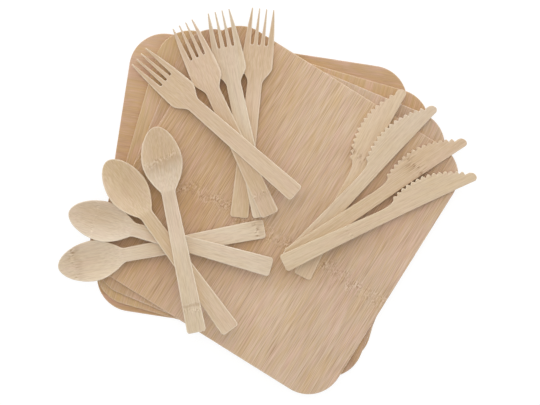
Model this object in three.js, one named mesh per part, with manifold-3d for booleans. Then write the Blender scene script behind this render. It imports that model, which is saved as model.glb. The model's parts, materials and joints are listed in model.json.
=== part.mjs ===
// A picnic set of pressed bamboo: four square plates fanned in a stack, with heaps of forks, spoons and
// knives lying on them. Millimetres, +Z up. The origin is the middle of the lowest plate's underside.
import * as THREE from 'three';
import { mergeVertices } from 'three/addons/utils/BufferGeometryUtils.js';
import Module from 'manifold-3d';

const wasm = await Module();
wasm.setup();

// Plates: flat square sheets with round corners. The lowest is cut a little smaller than the two that
// lie on it, and the top one a little larger.
const plateSide = 229.2;
const lowestPlateSide = 227.6;
const topPlateSide = 232.4;
const plateCornerRadius = 28.5;
const plateThickness = 1.6;

// Cutlery strip, and the clearance that every piece keeps to what it lies on.
const cutleryThickness = 1.8;
const handleCornerRadius = 2.5;
const restGap = 0.3;

// Fork. The head is measured from the neck to the tine tips, a slot from the tips to its round root, and
// the swell is the power by which the head widens from the tips.
const forkLength = 170;
const forkHandleEndWidth = 14.9;
const forkNeckWidth = 11.8;
const forkHeadLength = 61;
const forkHeadWidth = 25.4;
const forkHeadSwell = 1.75;
const forkShoulderLength = 14;
const forkTineCount = 4;
const forkTipsWidth = 18.1;
const forkTineTipWidth = 0.9;
const forkSlotDepth = 29.8;
const forkSlotWidth = 2.2;
const forkSlotPitch = 5.7;
const forkArch = 2.6;
const forkBellyFromTips = 27;
const forkTipRise = 1.2;

// Spoon. The bowl is measured from its tip to the neck. Its outline and its dish follow the powers given:
// a tip of 2 would be an ellipse's, a shoulder of 1 straight, and a dish of 1 a paraboloid.
const spoonLength = 170;
const spoonHandleEndWidth = 15.6;
const spoonNeckWidth = 11.2;
const spoonBowlLength = 54;
const spoonBowlWidth = 33;
const spoonWidestFromTip = 29;
const spoonTipPower = 1.85;
const spoonShoulderPower = 1.8;
const spoonBowlDepth = 4;
const spoonDishPower = 1.2;
const spoonArch = 4.4;
const spoonNeckBlend = 1.6;

// Knife. Widths are measured from the straight line between the ends of the spine, which is hollowed
// between them, and places along it from the end of the handle.
const knifeLength = 172;
const knifeHandleEndWidth = 14.8;
const knifeWaistWidth = 11.7;
const knifeWaistAt = 86;
const knifeHeelWidth = 14.3;
const knifeHeelAt = 102.5;
const knifeBellyWidth = 19.9;
const knifeBellyAt = 128;
const knifeTipWidth = 8;
const knifeTipLength = 8;
const knifeTipHeight = 3;
const knifeTipOverRound = 5;
const knifeTipUnderRound = 3;
const knifeSpineHollow = 1.2;
const knifeToothPitch = 4.6;
const knifeToothDepth = 2.3;

// Where each piece lies: its own point (a plate's middle, or the middle of a handle's end) and its heading
// in degrees from +X. Each list runs from the piece that lies lowest to the one on top.
const platePlaces = [
  { name: 'plate_1', side: lowestPlateSide, x: 0, y: 0, heading: -8.8, colour: 0xc4a280 },
  { name: 'plate_2', side: plateSide, x: 8.8, y: -6.7, heading: -16, colour: 0xc9a682 },
  { name: 'plate_3', side: plateSide, x: 15.2, y: -11.7, heading: -22.6, colour: 0xc4a487 },
  { name: 'plate_4', side: topPlateSide, x: 17.9, y: -17.4, heading: -32, colour: 0xcfb596 },
];
const forkPlaces = [
  { name: 'fork_4', x: -10.4, y: -23.4, heading: 83.4, colour: 0xd4ba9e },
  { name: 'fork_3', x: 8.2, y: -22.8, heading: 101.9, colour: 0xd2b898 },
  { name: 'fork_2', x: 15, y: -21.1, heading: 114.7, colour: 0xd0b695 },
  { name: 'fork_1', x: 35.8, y: -4.2, heading: 138.8, colour: 0xd1b89a },
];
const spoonPlaces = [
  { name: 'spoon_4', x: 10.2, y: -32.3, heading: 190.7, colour: 0xd4c0a7 },
  { name: 'spoon_3', x: 15.7, y: -63.9, heading: 164.9, colour: 0xd5c0a7 },
  { name: 'spoon_2', x: -16.9, y: -114.5, heading: 126.4, colour: 0xd0b899 },
  { name: 'spoon_1', x: -44.4, y: -116.2, heading: 101.6, colour: 0xd7c5ad },
];
const knifePlaces = [
  { name: 'knife_1', x: 40.3, y: -71.2, heading: 62.7, colour: 0xd6bea0 },
  { name: 'knife_2', x: 29.5, y: -58.2, heading: 47.6, colour: 0xd4bda1 },
  { name: 'knife_3', x: 29.5, y: -55.6, heading: 34.6, colour: 0xcfb598 },
  { name: 'knife_4', x: 25.2, y: -60.6, heading: 25.8, colour: 0xd4c0a3 },
];

// Fineness of the meshes, and of the grid on which the resting places are found.
const plateCornerSegments = 8;
const toothSegments = 4;
const handleCornerSteps = 3;
const handleSteps = 7;
const spoonBowlSteps = 14;
const spoonLanes = 10;
const forkShoulderSteps = 6;
const forkHeadSteps = 9;
const forkLanes = 8;
const slotRootSegments = 5;
const mergeDistance = 1e-4;
const cutMargin = 1;
const cellSize = 0.5;
const settlePasses = 5;

const bambooRoughness = 0.6;

/** Larger of two values, with the corner where they cross rounded over a band of the given width. */
function smoothMax(a, b, band) {
  const share = THREE.MathUtils.clamp(0.5 + (a - b) / (2 * band), 0, 1);
  return THREE.MathUtils.lerp(b, a, share) + band * share * (1 - share);
}

/** Half-width of a handle that runs straight from its rounded end to the neck. */
function handleHalfWidth(x, endWidth, neckWidth, neckAt) {
  const straight = THREE.MathUtils.lerp(endWidth, neckWidth, x / neckAt) / 2;
  if (x >= handleCornerRadius) {
    return straight;
  }
  const inset = handleCornerRadius - x;
  return straight - handleCornerRadius + Math.sqrt(handleCornerRadius ** 2 - inset ** 2);
}

/** Places along a handle: close together round the corners of its end, then wide apart up to the neck. */
function handleStations(neckAt) {
  const stations = [];
  for (let i = 0; i < handleCornerSteps; i++) {
    stations.push(handleCornerRadius * (1 - Math.cos((i / handleCornerSteps) * Math.PI / 2)));
  }
  for (let i = 0; i < handleSteps; i++) {
    stations.push(THREE.MathUtils.lerp(handleCornerRadius, neckAt, i / handleSteps));
  }
  return stations;
}

/** Geometry with coinciding vertices joined and the triangles that this flattens left out. */
function closedGeometry(geometry) {
  const bare = geometry.clone();
  bare.deleteAttribute('normal');
  bare.deleteAttribute('uv');
  const joined = mergeVertices(bare, mergeDistance);
  const source = joined.index.array;
  const kept = [];
  for (let i = 0; i < source.length; i += 3) {
    const [a, b, c] = source.slice(i, i + 3);
    if (a !== b && b !== c && c !== a) {
      kept.push(a, b, c);
    }
  }
  joined.setIndex(kept);
  joined.computeVertexNormals();
  return joined;
}

/**
 * Closed sheet along X: each station spans halfWidth(x) to both sides of y = 0, in equal lanes, and its
 * underside follows height(x, y), with the strip's thickness above it.
 */
function sheetGeometry(stations, lanes, halfWidth, height) {
  const positions = [];
  for (const x of stations) {
    for (let lane = 0; lane <= lanes; lane++) {
      const y = halfWidth(x) * (2 * lane / lanes - 1);
      const z = height(x, y);
      positions.push(x, y, z, x, y, z + cutleryThickness);
    }
  }
  const under = (station, lane) => 2 * (station * (lanes + 1) + lane);
  const over = (station, lane) => under(station, lane) + 1;
  const index = [];
  const quad = (a, b, c, d) => index.push(a, b, c, a, c, d);
  const last = stations.length - 1;
  for (let i = 0; i < last; i++) {
    for (let j = 0; j < lanes; j++) {
      quad(over(i, j), over(i + 1, j), over(i + 1, j + 1), over(i, j + 1));
      quad(under(i, j), under(i, j + 1), under(i + 1, j + 1), under(i + 1, j));
    }
    quad(under(i, 0), under(i + 1, 0), over(i + 1, 0), over(i, 0));
    quad(under(i, lanes), over(i, lanes), over(i + 1, lanes), under(i + 1, lanes));
  }
  for (let j = 0; j < lanes; j++) {
    quad(under(0, j), over(0, j), over(0, j + 1), under(0, j + 1));
    quad(under(last, j), under(last, j + 1), over(last, j + 1), over(last, j));
  }
  const geometry = new THREE.BufferGeometry();
  geometry.setAttribute('position', new THREE.Float32BufferAttribute(positions, 3));
  geometry.setIndex(index);
  return closedGeometry(geometry);
}

/** Manifold solid of a closed geometry. */
function toSolid(geometry) {
  const closed = closedGeometry(geometry);
  const mesh = new wasm.Mesh({
    numProp: 3,
    vertProperties: new Float32Array(closed.attributes.position.array),
    triVerts: new Uint32Array(closed.index.array),
  });
  return new wasm.Manifold(mesh);
}

/** Geometry of a manifold solid. */
function fromSolid(solid) {
  const mesh = solid.getMesh();
  const geometry = new THREE.BufferGeometry();
  geometry.setAttribute('position', new THREE.BufferAttribute(mesh.vertProperties, 3));
  geometry.setIndex(new THREE.BufferAttribute(mesh.triVerts, 1));
  return closedGeometry(geometry);
}

/** Square sheet of the given side with round corners, standing on z = 0 about its middle. */
function plateGeometry(side) {
  const flat = side / 2 - plateCornerRadius;
  const outline = new THREE.Shape();
  const corners = [[1, 1], [-1, 1], [-1, -1], [1, -1]];
  corners.forEach(([sideX, sideY], turn) => {
    const start = turn * Math.PI / 2;
    outline.absarc(sideX * flat, sideY * flat, plateCornerRadius, start, start + Math.PI / 2, false);
  });
  outline.closePath();
  return closedGeometry(new THREE.ExtrudeGeometry(outline, {
    depth: plateThickness,
    bevelEnabled: false,
    curveSegments: plateCornerSegments,
  }));
}

/** Half-width of the fork's head: it swells from the tips to the shoulder, which rolls in to the neck. */
function forkHeadHalfWidth(x) {
  const fromTips = forkLength - x;
  const widest = forkHeadLength - forkShoulderLength;
  if (fromTips <= widest) {
    const swell = 1 - (1 - fromTips / widest) ** forkHeadSwell;
    return THREE.MathUtils.lerp(forkTipsWidth, forkHeadWidth, swell) / 2;
  }
  const turn = Math.min(1, (fromTips - widest) / forkShoulderLength);
  return THREE.MathUtils.lerp(forkNeckWidth, forkHeadWidth, (1 + Math.cos(Math.PI * turn)) / 2) / 2;
}

/** Arch along a handle: a quarter sine wave from the end, which touches the ground, up to the neck. */
function handleArch(x, arch, neckAt) {
  return arch * Math.sin(Math.PI / 2 * Math.min(1, x / neckAt));
}

/** Underside of the fork: arched along the handle, down to the ground in the head and up to the tips. */
function forkHeight(x) {
  const neckAt = forkLength - forkHeadLength;
  const bellyAt = forkLength - forkBellyFromTips;
  if (x <= neckAt) {
    return handleArch(x, forkArch, neckAt);
  }
  if (x <= bellyAt) {
    return forkArch * (1 + Math.cos(Math.PI * (x - neckAt) / (bellyAt - neckAt))) / 2;
  }
  return forkTipRise * ((x - bellyAt) / forkBellyFromTips) ** 2;
}

/** Cutter for the slot a number of pitches from the middle: round at its root and widening to the tips. */
function slotCutter(order) {
  const rootX = forkLength - forkSlotDepth + forkSlotWidth / 2;
  const rootY = order * forkSlotPitch;
  const tipPitch = (forkTipsWidth - forkTineTipWidth) / (forkTineCount - 1);
  const tipGap = tipPitch - forkTineTipWidth;
  const reach = (forkLength + cutMargin - rootX) / (forkLength - rootX);
  const mouthX = forkLength + cutMargin;
  const mouthY = THREE.MathUtils.lerp(rootY, order * tipPitch, reach);
  const mouthGap = THREE.MathUtils.lerp(forkSlotWidth, tipGap, reach);
  const outline = new THREE.Shape();
  outline.absarc(rootX, rootY, forkSlotWidth / 2, Math.PI / 2, 3 * Math.PI / 2, false);
  outline.lineTo(mouthX, mouthY - mouthGap / 2);
  outline.lineTo(mouthX, mouthY + mouthGap / 2);
  outline.closePath();
  const height = forkArch + forkTipRise + cutleryThickness + 2 * cutMargin;
  const geometry = new THREE.ExtrudeGeometry(outline, {
    depth: height,
    bevelEnabled: false,
    curveSegments: slotRootSegments,
  });
  geometry.translate(0, 0, -cutMargin);
  return geometry;
}

/** Fork along X, from the middle of its handle's end to the tips of its tines. */
function forkGeometry() {
  const neckAt = forkLength - forkHeadLength;
  const shoulderAt = neckAt + forkShoulderLength;
  const stations = handleStations(neckAt);
  for (let i = 0; i < forkShoulderSteps; i++) {
    stations.push(THREE.MathUtils.lerp(neckAt, shoulderAt, i / forkShoulderSteps));
  }
  for (let i = 0; i <= forkHeadSteps; i++) {
    stations.push(THREE.MathUtils.lerp(shoulderAt, forkLength, i / forkHeadSteps));
  }
  const halfWidth = (x) => (x < neckAt
    ? handleHalfWidth(x, forkHandleEndWidth, forkNeckWidth, neckAt)
    : forkHeadHalfWidth(x));
  let solid = toSolid(sheetGeometry(stations, forkLanes, halfWidth, forkHeight));
  for (let slot = 1; slot < forkTineCount; slot++) {
    solid = solid.subtract(toSolid(slotCutter(slot - forkTineCount / 2)));
  }
  return fromSolid(solid);
}

/** Half-width of the spoon's bowl: an egg, blunter than an ellipse is at the tip, closing to the neck. */
function bowlHalfWidth(x) {
  const fromTip = spoonLength - x;
  const half = spoonBowlWidth / 2;
  if (fromTip <= spoonWidestFromTip) {
    const share = 1 - fromTip / spoonWidestFromTip;
    return half * (1 - share ** spoonTipPower) ** (1 / spoonTipPower);
  }
  const share = (fromTip - spoonWidestFromTip) / (spoonBowlLength - spoonWidestFromTip);
  return THREE.MathUtils.lerp(half, spoonNeckWidth / 2, share ** spoonShoulderPower);
}

/** Half-width of the whole spoon: bowl and handle, with a small fillet where they meet. */
function spoonHalfWidth(x) {
  const neckAt = spoonLength - spoonBowlLength;
  const handle = handleHalfWidth(x, spoonHandleEndWidth, spoonNeckWidth, neckAt);
  const bowl = bowlHalfWidth(x);
  return spoonLength - x < spoonWidestFromTip ? bowl : smoothMax(handle, bowl, spoonNeckBlend);
}

/**
 * Underside of the spoon: arched along the handle and sloping down to the rim of the bowl, which is a
 * shallow oval dish that reaches the ground.
 */
function spoonHeight(x, y) {
  const neckAt = spoonLength - spoonBowlLength;
  const widestAt = spoonLength - spoonWidestFromTip;
  const slope = THREE.MathUtils.smoothstep(x, neckAt, widestAt);
  const rim = THREE.MathUtils.lerp(handleArch(x, spoonArch, neckAt), spoonBowlDepth, slope);
  const halfLength = x > widestAt ? spoonWidestFromTip : spoonBowlLength - spoonWidestFromTip;
  const squared = ((x - widestAt) / halfLength) ** 2 + (y / (spoonBowlWidth / 2)) ** 2;
  return rim - spoonBowlDepth * Math.max(0, 1 - squared) ** spoonDishPower;
}

/** Spoon along X, from the middle of its handle's end to the tip of its bowl. */
function spoonGeometry() {
  const blendStart = spoonLength - spoonBowlLength - 2 * spoonNeckBlend;
  const stations = handleStations(blendStart);
  for (let i = 0; i <= spoonBowlSteps; i++) {
    const share = Math.sin((i / spoonBowlSteps) * Math.PI / 2);
    stations.push(THREE.MathUtils.lerp(blendStart, spoonLength, share));
  }
  return sheetGeometry(stations, spoonLanes, spoonHalfWidth, spoonHeight);
}

/** Evenly spaced roots of the knife's teeth, along two parabolas that meet level at the belly. */
function toothRoots() {
  const heel = new THREE.Vector2(knifeHeelAt, knifeHeelWidth);
  const belly = new THREE.Vector2(knifeBellyAt, knifeBellyWidth);
  const last = new THREE.Vector2(knifeLength - knifeTipLength, knifeTipWidth);
  const towards = (end) => new THREE.Vector2((end.x + belly.x) / 2, belly.y);
  const edge = new THREE.CurvePath();
  edge.add(new THREE.QuadraticBezierCurve(heel, towards(heel), belly));
  edge.add(new THREE.QuadraticBezierCurve(belly, towards(last), last));
  return edge.getSpacedPoints(Math.max(2, Math.round(edge.getLength() / knifeToothPitch)));
}

/**
 * Knife along X, from the middle of its handle's end to its finger-shaped tip, with the teeth at +Y. The
 * spine is a parabola, whose middle lies half as far out as the point that draws it. A tooth is drawn by the
 * same point twice, so that its crest lies three quarters as far out.
 */
function knifeGeometry() {
  const outline = new THREE.Shape();
  const corner = handleCornerRadius;
  const end = knifeHandleEndWidth;
  outline.absarc(corner, end - corner, corner, Math.PI, Math.PI / 2, true);
  outline.lineTo(knifeWaistAt, knifeWaistWidth);
  const swellAt = (knifeWaistAt + knifeHeelAt) / 2;
  const steepAt = (swellAt + knifeHeelAt) / 2;
  outline.bezierCurveTo(swellAt, knifeWaistWidth, steepAt, knifeWaistWidth, knifeHeelAt, knifeHeelWidth);
  const roots = toothRoots();
  for (let i = 1; i < roots.length; i++) {
    const chord = roots[i].clone().sub(roots[i - 1]).normalize();
    const crest = roots[i].clone().add(roots[i - 1]).multiplyScalar(0.5);
    crest.add(new THREE.Vector2(-chord.y, chord.x).multiplyScalar(knifeToothDepth / 0.75));
    outline.bezierCurveTo(crest.x, crest.y, crest.x, crest.y, roots[i].x, roots[i].y);
  }
  const [over, under] = [knifeTipOverRound, knifeTipUnderRound];
  const rise = knifeTipWidth - knifeTipHeight;
  outline.absellipse(knifeLength - over, knifeTipHeight, over, rise, Math.PI / 2, 0, true);
  outline.absellipse(knifeLength - under, knifeTipHeight, under, knifeTipHeight, 0, -Math.PI / 2, true);
  outline.quadraticCurveTo(knifeLength / 2, 2 * knifeSpineHollow, corner, 0);
  outline.absarc(corner, corner, corner, 3 * Math.PI / 2, Math.PI, true);
  outline.closePath();
  const geometry = new THREE.ExtrudeGeometry(outline, {
    depth: cutleryThickness,
    bevelEnabled: false,
    curveSegments: toothSegments,
  });
  geometry.translate(0, -end / 2, 0);
  return closedGeometry(geometry);
}

/** Tops of everything laid so far, on a square grid about the origin. The ground is at zero. */
function emptyPile() {
  const span = plateSide + forkLength + spoonLength + knifeLength;
  const cells = Math.ceil(span / cellSize);
  return { cells, tops: new Float32Array(cells * cells) };
}

/** Calls visit(cell, x, y, z) for each grid cell whose middle lies in plan in a triangle of the piece. */
function scanSurface(pile, geometry, matrix, visit) {
  const points = geometry.attributes.position;
  const corners = [new THREE.Vector3(), new THREE.Vector3(), new THREE.Vector3()];
  const half = pile.cells / 2;
  const index = geometry.index.array;
  for (let i = 0; i < index.length; i += 3) {
    corners.forEach((corner, k) => corner.fromBufferAttribute(points, index[i + k]).applyMatrix4(matrix));
    const [a, b, c] = corners;
    const area = (b.x - a.x) * (c.y - a.y) - (c.x - a.x) * (b.y - a.y);
    if (Math.abs(area) < mergeDistance) {
      continue;
    }
    const firstColumn = Math.ceil(Math.min(a.x, b.x, c.x) / cellSize + half);
    const lastColumn = Math.floor(Math.max(a.x, b.x, c.x) / cellSize + half);
    const firstRow = Math.ceil(Math.min(a.y, b.y, c.y) / cellSize + half);
    const lastRow = Math.floor(Math.max(a.y, b.y, c.y) / cellSize + half);
    for (let row = firstRow; row <= lastRow; row++) {
      for (let column = firstColumn; column <= lastColumn; column++) {
        const x = (column - half) * cellSize;
        const y = (row - half) * cellSize;
        const shareB = ((x - a.x) * (c.y - a.y) - (c.x - a.x) * (y - a.y)) / area;
        const shareC = ((b.x - a.x) * (y - a.y) - (x - a.x) * (b.y - a.y)) / area;
        if (shareB >= 0 && shareC >= 0 && shareB + shareC <= 1) {
          visit(row * pile.cells + column, x, y, a.z + shareB * (b.z - a.z) + shareC * (c.z - a.z));
        }
      }
    }
  }
}

/** Lowest point of the piece over each grid cell that it covers. */
function underside(pile, geometry, matrix) {
  const lowest = new Map();
  scanSurface(pile, geometry, matrix, (cell, x, y, z) => {
    const known = lowest.get(cell);
    if (known === undefined || z < known.z) {
      lowest.set(cell, { cell, x, y, z });
    }
  });
  return [...lowest.values()];
}

/** Plane z = level + slopeX x + slopeY y through three points. */
function planeThrough([p, q, r]) {
  const area = (q.x - p.x) * (r.y - p.y) - (r.x - p.x) * (q.y - p.y);
  const slopeX = ((q.z - p.z) * (r.y - p.y) - (r.z - p.z) * (q.y - p.y)) / area;
  const slopeY = ((q.x - p.x) * (r.z - p.z) - (r.x - p.x) * (q.z - p.z)) / area;
  return { slopeX, slopeY, level: p.z - slopeX * p.x - slopeY * p.y };
}

/** Least share of a weight at x = y = 0 that one of three supports bears: negative where they tip over. */
function leastLoad(supports) {
  const loads = supports.map((point, i) => {
    const [next, other] = [supports[(i + 1) % 3], supports[(i + 2) % 3]];
    return next.x * other.y - other.x * next.y;
  });
  const total = loads[0] + loads[1] + loads[2];
  return total === 0 ? -Infinity : Math.min(...loads.map((load) => load / total));
}

/**
 * Lowest plane over all points, seen at x = y = 0, where the weight acts: it stands on three of them. Each
 * step brings in the point that stands out most and lets go of a support that the weight doesn't need.
 */
function restingPlane(points) {
  const far = plateSide + forkLength + spoonLength + knifeLength;
  let supports = [0, 1, 2].map((i) => {
    const turn = 2 * Math.PI * i / 3;
    return { x: far * Math.cos(turn), y: far * Math.sin(turn), z: -far };
  });
  let plane = planeThrough(supports);
  for (let swap = 0; swap < points.length; swap++) {
    let highest = null;
    let excess = mergeDistance;
    for (const point of points) {
      const above = point.z - plane.level - plane.slopeX * point.x - plane.slopeY * point.y;
      if (above > excess) {
        excess = above;
        highest = point;
      }
    }
    if (highest === null) {
      break;
    }
    const swapped = [0, 1, 2].map((k) => supports.map((point, i) => (i === k ? highest : point)));
    supports = swapped.reduce((best, other) => (leastLoad(other) > leastLoad(best) ? other : best));
    plane = planeThrough(supports);
  }
  return plane;
}

/** Matrix that lays a piece with its own origin at (x, y, level), at its heading on a sloping plane. */
function layingMatrix(place, plane) {
  const turn = THREE.MathUtils.degToRad(place.heading);
  const lengthwise = new THREE.Vector3(Math.cos(turn), Math.sin(turn), 0);
  lengthwise.z = plane.slopeX * lengthwise.x + plane.slopeY * lengthwise.y;
  lengthwise.normalize();
  const upward = new THREE.Vector3(-plane.slopeX, -plane.slopeY, 1).normalize();
  const sideways = new THREE.Vector3().crossVectors(upward, lengthwise);
  const matrix = new THREE.Matrix4().makeBasis(lengthwise, sideways, upward);
  return matrix.setPosition(place.x, place.y, plane.level);
}

/** Matrix with which a piece comes to rest at its place on the pile. */
function settledMatrix(pile, geometry, place) {
  const plane = { slopeX: 0, slopeY: 0, level: 0 };
  const clearances = () => underside(pile, geometry, layingMatrix(place, plane)).map(
    ({ cell, x, y, z }) => ({ x, y, z: pile.tops[cell] + restGap - z }),
  );
  for (let pass = 0; pass < settlePasses; pass++) {
    const lifts = clearances();
    const middleX = lifts.reduce((sum, lift) => sum + lift.x, 0) / lifts.length;
    const middleY = lifts.reduce((sum, lift) => sum + lift.y, 0) / lifts.length;
    const step = restingPlane(lifts.map(({ x, y, z }) => ({ x: x - middleX, y: y - middleY, z })));
    plane.level += step.level + step.slopeX * (place.x - middleX) + step.slopeY * (place.y - middleY);
    plane.slopeX += step.slopeX;
    plane.slopeY += step.slopeY;
  }
  plane.level += clearances().reduce((most, lift) => Math.max(most, lift.z), 0);
  return layingMatrix(place, plane);
}

/** Bamboo piece laid by its matrix, which also raises the pile's tops where it lies. */
function laidPiece(pile, geometry, place, matrix) {
  const material = new THREE.MeshStandardMaterial({
    color: place.colour,
    roughness: bambooRoughness,
    metalness: 0,
  });
  const mesh = new THREE.Mesh(geometry, material);
  mesh.name = place.name;
  matrix.decompose(mesh.position, mesh.quaternion, mesh.scale);
  scanSurface(pile, geometry, matrix, (cell, x, y, z) => {
    pile.tops[cell] = Math.max(pile.tops[cell], z);
  });
  return mesh;
}

/** Stack of plates, each flat on the one below it. */
function plateStack(pile) {
  const group = new THREE.Group();
  platePlaces.forEach((place, order) => {
    const plane = { slopeX: 0, slopeY: 0, level: order * (plateThickness + restGap) };
    group.add(laidPiece(pile, plateGeometry(place.side), place, layingMatrix(place, plane)));
  });
  return group;
}

/** Heap of like pieces, each of which comes to rest on what lies under it. */
function heap(pile, geometry, places) {
  const group = new THREE.Group();
  for (const place of places) {
    group.add(laidPiece(pile, geometry, place, settledMatrix(pile, geometry, place)));
  }
  return group;
}

const pile = emptyPile();
const picnicSet = new THREE.Group();
picnicSet.add(plateStack(pile));
picnicSet.add(heap(pile, forkGeometry(), forkPlaces));
picnicSet.add(heap(pile, spoonGeometry(), spoonPlaces));
picnicSet.add(heap(pile, knifeGeometry(), knifePlaces));

export default picnicSet;
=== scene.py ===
"""Looks of a bamboo picnic set: square plates fanned in a stack, with forks, spoons and knives on them.

Each piece is worked out in its own frame, in millimetres: x runs along a handle from its end to the head, or
across a plate, y to the left of that and z up. It is then laid where the solid of its name lies, in metres.
"""
import json
import logging
import math
from abc import ABC, abstractmethod
from collections.abc import Callable
from dataclasses import dataclass, field
from enum import Enum
from typing import Any

import bpy
import numpy as np
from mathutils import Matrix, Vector

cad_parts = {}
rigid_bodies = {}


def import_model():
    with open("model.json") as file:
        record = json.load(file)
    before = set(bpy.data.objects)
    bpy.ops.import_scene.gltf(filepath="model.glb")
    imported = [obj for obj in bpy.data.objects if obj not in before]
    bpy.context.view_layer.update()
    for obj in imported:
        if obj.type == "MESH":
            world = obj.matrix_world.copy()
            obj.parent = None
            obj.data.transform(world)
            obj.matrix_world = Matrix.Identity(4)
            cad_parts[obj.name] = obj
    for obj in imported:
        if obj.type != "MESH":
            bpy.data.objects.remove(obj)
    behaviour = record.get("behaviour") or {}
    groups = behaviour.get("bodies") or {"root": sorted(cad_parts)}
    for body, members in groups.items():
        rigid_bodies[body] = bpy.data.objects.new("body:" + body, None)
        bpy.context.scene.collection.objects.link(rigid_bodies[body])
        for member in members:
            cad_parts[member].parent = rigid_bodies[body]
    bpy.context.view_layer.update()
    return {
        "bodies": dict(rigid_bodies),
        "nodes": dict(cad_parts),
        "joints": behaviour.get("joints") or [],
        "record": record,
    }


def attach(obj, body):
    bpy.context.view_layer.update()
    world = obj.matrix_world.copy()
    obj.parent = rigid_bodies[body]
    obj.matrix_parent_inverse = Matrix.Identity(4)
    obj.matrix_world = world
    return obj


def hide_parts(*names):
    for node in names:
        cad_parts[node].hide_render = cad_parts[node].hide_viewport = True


Tree = bpy.types.NodeTree
Socket = bpy.types.NodeSocket
Level = float | Socket
Surface = Callable[[np.ndarray, np.ndarray], np.ndarray]

log = logging.getLogger("picnic_set")

MM = 0.001
# Attributes with a point's place along, across and through the grain in millimetres, and 1 on the edges.
GRAIN = "grain"
RIM = "rim"
# Steps round a rounded edge, and round a corner of a handle.
EDGE_STEPS = 4
CORNER_STEPS = 6
# Least divisor of a mitre, which cuts it short at very sharp corners.
SHARPEST_TURN = 0.4
# Sizes of the bamboo's patterns along and across the grain, in millimetres: its tinted patches, the wander
# of a joint's line, the fibres around it and the clumps of its flecks, and then the width of a fleck. Real
# fibres are about 0.3 mm wide, too fine to show in the render, so here and in the finishes they are drawn
# about twice as wide or more.
TINTED_PATCHES = ((34.0, 9.0), (12.0, 1.5))
JOINT_WANDER = (300.0, 9.0)
JOINT_FIBRES = (9.0, 0.9)
JOINT_CLUMPS = (6.0, 7.0)
FLECK_WIDTH = 1.1
# Shift of the patterns from one seed to the next, in sizes of a pattern.
SEED_SHIFT = (1.7, 3.1, 2.3)
# Middle of the noise, and how far from it a tint is fullest, in patches and fibres and in flecks.
NOISE_MIDDLE = 0.5
FIBRE_REACH = 0.2
FLECK_REACH = 0.14
# Noise where a joint's flecks are sparse and where they are full, and the share that shows where sparse.
SPARSE_AT = 0.42
FULL_AT = 0.6
SPARSE_SHARE = 0.3
# How far the dark fibres around a joint reach, and where its shaded side is, in half-widths of the joint.
JOINT_FIBRES_TO = 3.0
JOINT_SHADED_AT = -0.8


class GrainSide(Enum):
    """The side of a plate that its grain runs along, by the order of axes along, across and through it."""

    X = (0, 1, 2)
    Y = (1, 0, 2)


class ToneAxis(Enum):
    """The way in which a piece's own tone changes, by the axis of its grain attribute."""

    ALONG = "X"
    ACROSS = "Y"


def linear(code: str) -> tuple[float, float, float, float]:
    """Turns an sRGB hex colour into linear RGBA.

    Args:
        code: Colour as "#rrggbb".

    Returns:
        Red, green and blue in linear light, and an alpha of 1.
    """
    parts = [int(code[i:i + 2], 16) / 255 for i in (1, 3, 5)]
    red, green, blue = (c / 12.92 if c <= 0.04045 else ((c + 0.055) / 1.055) ** 2.4 for c in parts)
    return red, green, blue, 1.0


def lerp(low: Any, high: Any, share: Any) -> Any:
    """Value that lies the given share of the way from low to high."""
    return low + (high - low) * share


def smoothstep(x: np.ndarray, low: float, high: float) -> np.ndarray:
    """Rise from 0 at low to 1 at high, as 3 s^2 - 2 s^3, level at both ends."""
    share = np.clip((x - low) / (high - low), 0, 1)
    return share * share * (3 - 2 * share)


def smooth_max(a: np.ndarray, b: np.ndarray, band: float) -> np.ndarray:
    """Larger of two values, with the corner where they cross rounded over a band of the given width."""
    share = np.clip(0.5 + (a - b) / (2 * band), 0, 1)
    return lerp(b, a, share) + band * share * (1 - share)


def mitres(points: np.ndarray, before: np.ndarray, after: np.ndarray) -> np.ndarray:
    """Vectors that carry an outline outwards by one unit, and its corners by their mitres.

    With n and m the outward unit normals of the two sides that meet at a point, the vector is
    (n + m) / (1 + n . m), cut short at very sharp corners.

    Args:
        points: Points of an outline that turns counter-clockwise, as rows of x and y.
        before: The point before each of them.
        after: The point after each of them.

    Returns:
        One vector for each point.
    """
    normals = []
    for side in (points - before, after - points):
        outward = np.column_stack((side[:, 1], -side[:, 0]))
        normals.append(outward / np.linalg.norm(side, axis=1, keepdims=True))
    turn = np.sum(normals[0] * normals[1], axis=1, keepdims=True)
    return (normals[0] + normals[1]) / np.maximum(1 + turn, SHARPEST_TURN)


def inset(outline: np.ndarray, distance: float) -> np.ndarray:
    """Closed counter-clockwise outline moved inwards by a distance, point by point along its mitres."""
    return outline - distance * mitres(outline, np.roll(outline, 1, axis=0), np.roll(outline, -1, axis=0))


def grid_quads(index: np.ndarray) -> np.ndarray:
    """Faces between neighbours in a grid of point numbers, whose rows run along x and columns along y."""
    corners = (index[:-1, :-1], index[1:, :-1], index[1:, 1:], index[:-1, 1:])
    return np.stack(corners, axis=-1).reshape(-1, 4)


@dataclass
class Solid:
    """Closed mesh of a piece in its own frame: vertices in millimetres, and faces of four corners.

    The rim is 1 at the vertices of its edges and 0 elsewhere.
    """

    vertices: np.ndarray
    faces: np.ndarray
    rim: np.ndarray

    def triangles(self) -> np.ndarray:
        """Two triangles for each face."""
        return np.vstack((self.faces[:, [0, 1, 2]], self.faces[:, [0, 2, 3]]))


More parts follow.
